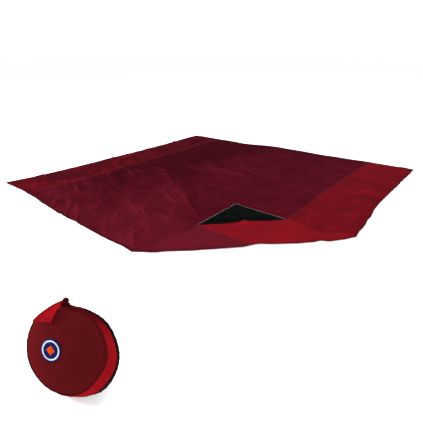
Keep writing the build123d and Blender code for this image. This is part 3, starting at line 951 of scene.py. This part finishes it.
def back_profile(share):
    """Radius and depth of the full back, from the zip at 0 to the middle at 1."""
    knots = MM * np.array([(116.5, 5.5), (104, 21.5), (90, 38), (77, 51), (62, 59), (46, 63), (23, 63.5),
                           (0.5, 63.5)])
    weight = bell(share[:, None] - linspace(0, 1, len(knots))[None], 0.075)
    point = weight / weight.sum(1)[:, None] @ knots
    point[share == 0] = knots[0]
    return point.T


def make_back():
    """The bulging back, with gathers at the zip and a dent or two."""
    rings, columns = 46, 240
    azimuth, share = around_grid(0, 360, columns, linspace(0, 1, rings), True)
    radius, depth = back_profile(share)
    radius = radius * (1 + outline(azimuth) / RADIUS)
    radius += 0.0008 * rim_pucker(azimuth, 77) * (1 - smooth(share, 0.0, 0.25))
    u, v = radius * cos(radians(azimuth)), radius * sin(radians(azimuth))
    dents = 0.0016 + 0.0022 * noise(u, v, 0.06, 78) + 0.0011 * noise(u, v, 0.022, 79)
    verts = pouch_point(azimuth, radius, smooth(share, 0.05, 0.3) * dents - depth)
    obj = shell("pouch_rear_bulge", verts, columns, POUCH_FACE, 0.35 + 0.15 * noise(u, v, 0.05, 80))
    attach(obj, "pouch_back", "pouch_back_panel")
    close_middle(obj, range((rings - 1) * columns, rings * columns))


def make_hinge():
    """The stretch of the side band with no zip, where the real pouch bends open; here it hangs on no body."""
    columns = 60
    azimuth, share = around_grid(HINGE_FROM - 1.5, HINGE_TO + 1.0, columns, linspace(0, 1, 9), False)
    radius = RADIUS + outline(azimuth) + 0.0005 + 0.0006 * sin(pi * share) * rim_pucker(azimuth, 81)
    verts = pouch_point(azimuth, radius, -ZIP_HALF + (ZIP_HALF + 0.0012) * share)
    light = 0.45 + 0.1 * ring_noise(azimuth, share * 0.01, 0.02, 82)
    obj = shell("pouch_hinge_cloth", verts, columns, POUCH_RED, light, closed=False, lined=False)
    attach(obj, None, "hinge_strip")
    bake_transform(obj)


def ring_tube(name, rim, height, size, body, material, start=0.0, stop=360.0):
    """A round welt of cloth that follows a rim."""
    closed, columns, sides = stop - start >= 360, 480, 8
    azimuths = linspace(start, stop, columns, endpoint=not closed)
    azimuth, around = grid_of(azimuths, np.arange(sides) * 2 * pi / sides)
    verts = pouch_point(azimuth, rim(azimuth) + size * cos(around), height + size * sin(around))
    faces = grid_faces(columns, sides, True, True) if closed else tube_faces(columns, sides)
    attach(mesh_object(name, verts, faces, [material], 0.35), body)


def pouch_stitches(name, start, stop, radius, height, up_from):
    """A ring of stitches round the pouch's front; up_from(azimuth) is the way out of the cloth."""
    count = int(radians(stop - start) * RADIUS / 0.0036)
    low = start + (stop - start) * np.arange(count) / count
    high = low + math.degrees(0.0025 / RADIUS)
    starts, ends = (pouch_point(at, radius(at), height(at)) for at in (low, high))
    sewn = stitch_mesh(name, starts, ends, up_from((low + high) / 2), 0.00024, DARK_THREAD, 0.0005)
    attach(sewn, "pouch_front")


def make_welts():
    """Rolled seams where the face, the side band and the back meet, with their stitches."""
    ring_tube("pouch_face_welt", lambda a: face_rim(a) - 0.0006, GUSSET_TOP + 0.0003, 0.0012,
              "pouch_front", POUCH_FACE)
    ring_tube("pouch_side_welt", lambda a: side_rim(a) + 0.0003 - 0.0012 * stretched(a), ZIP_HALF + 0.0009,
              0.0010, "pouch_front", POUCH_RED, ZIP_FROM - 1, ZIP_TO + 1)
    ring_tube("pouch_back_welt", lambda a: side_rim(a) + 0.0001, -ZIP_HALF - 0.0006, 0.0010,
              "pouch_back", POUCH_FACE)
    inset = 0.0058
    top = FACE_TOP + crown(1 - inset / RADIUS) + 0.0002
    pouch_stitches("pouch_face_stitches", 0, 360, lambda a: face_rim(a) - inset,
                   lambda a: top + 0.0005 * rim_pucker(a), lambda a: AXIS)
    pouch_stitches("pouch_side_stitches", ZIP_FROM, ZIP_TO, lambda a: side_rim(a) + 0.0016,
                   lambda a: ZIP_HALF + 0.0040, away_from)


# ---- the zip
def make_tapes():
    """The two woven zip tapes."""
    columns = 260
    for side, low, high in (("front", 0.0021, 0.0064), ("back", -0.0064, -0.0021)):
        azimuth, height = around_grid(ZIP_FROM, ZIP_TO, columns, linspace(low, high, 6), False)
        sunk = 0.0006 + 0.0006 * smooth(np.abs(height), 0.0035, 0.0060)
        verts = pouch_point(azimuth, RADIUS - sunk + outline(azimuth), height)
        ribs = 0.3 + 0.2 * sin(height * 9000)
        tape = shell(f"zip_tape_{side}", verts, columns, TAPE, ribs, 0.9 * MM, closed=False, lined=False)
        attach(tape, f"pouch_{side}", f"zip_{side}_tape")


def make_coils():
    """The two spiral coils of the zip, whose turns lie between each other."""
    turns, points = int(radians(ZIP_TO - ZIP_FROM) * RADIUS / COIL_PITCH), 9
    around = radians([45, 135, 225, 315])[None, :, None]
    for side, sign, ahead in (("front", 1, 0.5), ("back", -1, 0.0)):
        step = np.arange(turns * points + 1) / points
        azimuth = ZIP_FROM + (ZIP_TO - ZIP_FROM) * (step + ahead) / (turns + 1)
        radius = RADIUS + outline(azimuth) - 0.0005 + 0.0009 * cos(2 * pi * step)
        middle = pouch_point(azimuth, radius, sign * (0.0013 + 0.0011 * sin(2 * pi * step)))
        along = unit(np.gradient(middle, axis=0))
        across = unit(np.cross(along, AXIS))
        up = np.cross(across, along)
        verts = middle[:, None] + 0.3 * MM * (cos(around) * across[:, None] + sin(around) * up[:, None])
        coil = mesh_object(f"zip_coil_{side}", verts.reshape(-1, 3), tube_faces(len(middle), 4), [COIL])
        attach(coil, f"pouch_{side}", f"zip_{side}_coil")


def plate(name, points, thickness, origin, x_dir, y_dir, bevel=0.0002):
    """A flat metal part whose outline is points in millimetres, centred on its plane, with rounded edges."""
    flat = origin + np.array(points) * MM @ np.array([x_dir, y_dir])
    half = np.cross(x_dir, y_dir) * thickness / 2
    count = len(points)
    faces = [list(range(count))[::-1], list(range(count, 2 * count))]
    faces += [[i, (i + 1) % count, count + (i + 1) % count, count + i] for i in range(count)]
    obj = mesh_object(name, np.concatenate([flat - half, flat + half]), faces, [METAL])
    edge = obj.modifiers.new("edge", "BEVEL")
    edge.width = bevel
    edge.segments = 2
    edge.limit_method = "ANGLE"
    return obj


def mirrored(points):
    """A whole outline from its half below the x axis."""
    return points + [(x, -y) for x, y in points[::-1]]


def join(name, parts, body, node):
    """One metal piece from several plates, with their bevels applied first."""
    depsgraph = bpy.context.evaluated_depsgraph_get()
    work = bmesh.new()
    for part in parts:
        mesh = bpy.data.meshes.new_from_object(part.evaluated_get(depsgraph))
        work.from_mesh(mesh)
        bpy.data.meshes.remove(mesh)
        bpy.data.objects.remove(part)
    mesh = bpy.data.meshes.new(name)
    work.to_mesh(mesh)
    work.free()
    mesh.materials.append(METAL)
    attach(add_object(name, mesh), body, node)


def along_zip(azimuth):
    """Directions along the zip and out from it at an azimuth."""
    out = away_from(azimuth)
    return np.cross(AXIS, out), out


def make_slider():
    """The slider: two waisted plates, the bridge that holds the pull, and the wedge between them."""
    along, out = along_zip(SLIDER_AT)

    def at(radius):
        return pouch_point(SLIDER_AT, RADIUS + radius, 0.0)

    waisted = mirrored([(-5.2, -2.6), (-2.08, -3.4), (3.12, -3.4), (5.2, -1.82)])
    wedge = mirrored([(-4.6, -0.7), (-1.0, -0.3)])
    arch = [(-3.6, -1.0), (-3.0, 0.6), (-1.8, 1.2), (1.8, 1.2), (3.0, 0.6), (3.6, -1.0), (2.8, -1.0),
            (2.2, 0.2), (-2.2, 0.2), (-2.8, -1.0)]
    join("zip_slider_body", [
        plate("slider_inner", waisted, 0.0008, at(-0.0028), along, AXIS, 0.00025),
        plate("slider_outer", waisted, 0.0008, at(0.0015), along, AXIS, 0.00025),
        plate("slider_wedge", wedge, 0.0042, at(-0.0006), along, AXIS, 0.0001),
        plate("slider_bridge", arch, 0.0016, at(0.0026), along, out, 0.00015),
    ], "slider", "zip_slider")


def make_pull():
    """The pull: a long rounded tag with a raised grip, and a narrow neck at the bridge."""
    low, high = (np.array(corner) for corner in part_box("zip_pull"))
    along, out = along_zip(SLIDER_AT)
    pin = pouch_point(SLIDER_AT, RADIUS + 0.0042, 0.0)
    if np.dot((low + high) / 2 - pin, along) < 0:
        along = -along
    across = np.cross(out, along)
    end = [(27 + 3 * sin(radians(a)), 3 * cos(radians(a))) for a in range(0, 181, 20)]
    neck = [(0.0, -2.2), (-0.8, 0.0), (0.0, 2.2), (4.0, 2.0), (8.0, 3.0)]
    grip = [(x * 0.45 + 14.5, y * 0.62) for x, y in end + [(10, -3), (10, 3)]]
    join("zip_pull_tag", [
        plate("pull_tag", end + neck, 0.0009, pin, along, -across, 0.00025),
        plate("pull_grip", grip, 0.0013, pin, along, -across),
    ], "pull", "zip_pull")


def make_stops():
    """The two small crimped stops at the zip's ends."""
    parts = []
    for azimuth in (ZIP_FROM + 1.2, ZIP_TO - 1.2):
        along, out = along_zip(azimuth)
        origin = pouch_point(azimuth, RADIUS - 0.0002, -0.0014)
        crimp = [(-1.4, -1.0), (1.4, -1.0), (1.4, 1.2), (-1.4, 1.2)]
        parts.append(plate("stop", crimp, 0.0022, origin, along, -out, 0.0003))
    join("zip_end_stops", parts, "pouch_back", "zip_stops")


# ---- the badge
def embroidered(name, node, across, along, lift, faces, material):
    """An embroidered patch of the badge, on the swell of the face."""
    u, v = BADGE_U + across, BADGE_V + along
    verts = face_point(u, v, FACE_TOP + crown(np.hypot(u, v) / RADIUS) + lift)
    attach(mesh_object(name, verts, faces, [material], 0.5), "pouch_front", node)


def satin_ring(name, node, radius, half_width, height, lift, material):
    """A ring of satin stitches laid side by side across it."""
    count, columns = 420, 9
    turn, share = grid_of(np.arange(count) * 2 * pi / count, linspace(0, 1, columns))
    strands = cos(turn * 140)
    r = radius + (share * 2 - 1) * (half_width + 0.00012 * strands)
    up = lift + height * sin(pi * share) ** 0.6 * (1 + 0.22 * strands)
    up -= 0.0004 * ((share == 0) | (share == 1))
    faces = grid_faces(count, columns, close_rows=True)
    embroidered(name, node, r * cos(turn), r * sin(turn), up, faces, material)


def make_badge():
    """A round badge with a plain ring and a diamond, all in satin stitch."""
    size, count = 0.0290, 96
    b, a = grid_of(linspace(-size, size, count), linspace(-size, size, count))
    # squares mapped to a disc, so that the stitches run straight across it
    disc_a, disc_b = a * np.sqrt(1 - (b / size) ** 2 / 2), b * np.sqrt(1 - (a / size) ** 2 / 2)
    rows = 0.00010 * cos(disc_a * 2 * pi / 0.0011)
    edge = smooth(np.hypot(disc_a, disc_b), size * 0.985, size)
    embroidered("badge_ground_stitch", "badge_ground", disc_a, disc_b, 0.0010 + rows - 0.0012 * edge,
                grid_faces(count, count), NAVY)
    satin_ring("badge_border_stitch", None, 0.0286, 0.0014, 0.0010, 0.0006, NAVY)
    satin_ring("badge_ring_stitch", "badge_ring", 0.0236, 0.0022, 0.0008, 0.0011, WHITE)
    half, count = 0.0127, 60
    q, p = grid_of(linspace(-1, 1, count), linspace(-1, 1, count))
    rows = 0.00016 * cos(p * half * 2 * pi / 0.0010) * (np.abs(q) < 1)
    mound = 0.0009 * (1 - np.maximum(np.abs(p), np.abs(q)) ** 6)
    embroidered("badge_diamond_stitch", "badge_diamond", (p - q) * half / 2, (p + q) * half / 2,
                0.0010 + mound + rows, grid_faces(count, count), ORANGE)


# ---- the tab
TAB_SEAT = 35.6 * MM
# the tab's two edges from root to end: millimetres from the middle of the face, and shares along the tab
TAB_INNER = ((-17, 116), (-28, 103), (-35, 88), (-44, 69))
TAB_INNER_AT = (0, 0.35, 0.7, 1)
TAB_OUTER = ((-9, 134), (-29, 124), (-52, 109), (-77, 88), (-98, 64))
TAB_OUTER_AT = (0, 0.25, 0.5, 0.75, 1)
ROOT_INNER, ROOT_OUTER = np.array(TAB_INNER[0]) * MM, np.array(TAB_OUTER[0]) * MM


def tab_edge(share, at, points, rows):
    """One edge of the tab at each point of its grid, with its corners softened."""
    edge = np.stack([np.interp(share, at, values) for values in np.array(points).T], 1) * MM
    grid = edge.reshape(rows, -1, 2)
    for _ in range(30):
        grid[1:-1] = (grid[:-2] + 2 * grid[1:-1] + grid[2:]) / 4
    return edge


def make_tab():
    """The bright red cloth tab that lies along the rim, with its turned end and its stitches."""
    rows, columns = 64, 30
    share, across = shares(rows, columns)
    inner = tab_edge(share, TAB_INNER_AT, TAB_INNER, rows)
    outer = tab_edge(share, TAB_OUTER_AT, TAB_OUTER, rows)
    u, v = (inner + (outer - inner) * across[:, None]).T
    wave = 0.0022 * sin(across * 5.2 + 0.8) * sin(pi * share * 0.9) + 0.0008 * noise(u, v, 0.014, 91)
    lift = 0.0016 + 0.0084 * share * (1 - share) + 0.0030 * smooth(share, 0.5, 1.0) * across + wave * 0.7
    points = face_point(u, v, TAB_SEAT + lift * smooth(share, 0.0, 0.12) + 0.0008)
    # painted shade: the tab is drawn darker near its root, where it turns under; the noise adds random tone
    light = 0.85 + 0.08 * noise(u, v, 0.02, 92) - 0.45 * bell(share, 0.09)
    obj = mesh_object("carry_tab_cloth", points, grid_faces(rows, columns), [POUCH_RED, LINING], light)
    attach(thicken(obj, 0.0010, lining=1), "tab", "carry_tab")

    # the turned end: a slab over the last rows, closed round its border
    grid = points.reshape(rows, columns, 3)
    hem = grid[-8:, 1:-1] + 0.0007 * AXIS
    index = np.arange(hem.size // 3).reshape(hem.shape[:2])
    border = np.concatenate([index[0], index[1:, -1], index[-1, -2::-1], index[-2:0:-1, 0]])
    after = np.roll(border, -1)
    top = grid_faces(*index.shape)
    sides = np.stack([border, after, after + index.size, border + index.size], 1)
    faces = np.concatenate([top, top[:, ::-1] + index.size, sides])
    verts = np.concatenate([hem.reshape(-1, 3), hem.reshape(-1, 3) - 0.0016 * AXIS])
    end = attach(mesh_object("carry_tab_end_hem", verts, faces, [POUCH_RED], 0.90), "tab")

    runs = (grid[-8, 1:-1], grid[-3, 1:-1], grid[2:-8, 2], grid[2:-8, -3])
    starts = np.concatenate([run[:-1] for run in runs]) + 0.0011 * AXIS
    steps = np.concatenate([np.diff(run, axis=0) for run in runs])
    ends = starts + 0.85 * steps
    sewn = stitch_mesh("carry_tab_stitches", starts + 0.15 * steps, ends, AXIS, 0.00022, RED_THREAD)
    attach(sewn, "tab")


def make_tab_root():
    """The tab's root: cloth that comes up the side band, rolls over the rim and goes on as the tab."""
    rows, columns = 48, 22
    turn, share = shares(rows, columns)
    span = ROOT_OUTER - ROOT_INNER
    away = unit(np.array([span[1], -span[0]]))  # from the tab, along the rim
    # the roll's section: it starts under the tab's root, swells away from it and tucks under itself
    angle = radians(165 - 330 * turn)
    size = 0.0062 - 0.0016 * (2 * share - 1) ** 4 + 0.0005 * sin(share * 9)
    out = size * (0.2 + 1.25 * cos(angle)) * (1 - 0.15 * share)
    u, v = (ROOT_INNER + np.outer(1.05 * share - 0.05, span) + np.outer(out, away)).T
    # painted shade: the roll is drawn darker than the tab, and darker still as it turns under itself
    light = 0.42 - 0.26 * turn + 0.06 * noise(share * 0.02, turn * 0.03, 0.01, 93)
    roll = mesh_object("tab_root_roll", face_point(u, v, TAB_SEAT - 0.0012 + size * sin(angle)),
                       grid_faces(rows, columns), [POUCH_RED, LINING], light)
    attach(thicken(roll, 0.0011, lining=1), "pouch_front", "tab_anchor")

    # the stretch sewn to the side band, below the roll
    rows, columns = 26, 14
    share, side = shares(rows, columns)
    azimuth = 90.5 + 9.5 * side
    radius = RADIUS + outline(azimuth) + 0.0042 + 0.0006 * sin(pi * share) + 0.0060 * smooth(share, 0.75, 1)
    height = GUSSET_TOP * 0.45 + (TAB_SEAT - 0.004 - GUSSET_TOP * 0.45) * share
    # painted shade: the strap is drawn very dark, as it lies under the roll
    light = 0.12 + 0.1 * noise(share * 0.03, side * 0.02, 0.01, 94)
    strap = mesh_object("tab_root_strap", pouch_point(azimuth, radius, height), grid_faces(rows, columns),
                        [POUCH_RED], light)
    attach(thicken(strap, 0.0011, 0.0), "pouch_front")


make_face()
make_gusset()
make_back()
make_hinge()
make_tapes()
make_coils()
make_slider()
make_pull()
make_stops()
make_badge()
make_tab()
make_tab_root()
make_welts()


# ---- floor and lights
def make_floor():
    """A pale floor that runs to the horizon."""
    material = bpy.data.materials.new("studio_floor")
    material.use_nodes = True
    shader = material.node_tree.nodes["Principled BSDF"]
    for key, value in (("Base Color", (0.82, 0.82, 0.82, 1)), ("Roughness", 0.9), ("Specular IOR Level", 0.0),
                       ("Emission Color", (1, 1, 1, 1)), ("Emission Strength", 0.50)):
        shader.inputs[key].default_value = value
    size = 60.0
    corners = [(-size, -size, 0), (size, -size, 0), (size, size, 0), (-size, size, 0)]
    mesh_object("floor", corners, [(0, 1, 2, 3)], [material])


def area_light(name, place, size, power):
    """A soft square light pointed at the blanket's middle."""
    data = bpy.data.lights.new(name, "AREA")
    data.size = size
    data.energy = power
    light = add_object(name, data)
    light.location = place
    x, y, z = place
    light.rotation_euler = (pi / 2 - math.atan2(z, math.hypot(x, y)), 0, math.atan2(-y, -x) - pi / 2)


def make_lights():
    """Soft light from a white room with a dimmer ceiling, and a low broad lamp to the left."""
    world = bpy.data.worlds.new("studio")
    world.use_nodes = True
    tree = world.node_tree
    direction = node_of(tree, "TexCoord").outputs["Generated"]
    height = node_of(tree, "SeparateXYZ", {"Vector": direction}).outputs["Z"]
    background = tree.nodes["Background"]
    background.inputs["Color"].default_value = (1, 1, 1, 1)
    tree.links.new(ramp_of(tree, height, 0.16, 0.40, 1.0, 0.55), background.inputs["Strength"])
    bpy.context.scene.world = world
    area_light("key", (-5.6, -4.4, 3.4), 3.0, 1150)
    area_light("top", (0.6, 1.0, 4.2), 3.0, 120)


make_floor()
make_lights()
bpy.context.scene.view_settings.view_transform = "Standard"
bpy.context.scene.view_settings.look = "None"
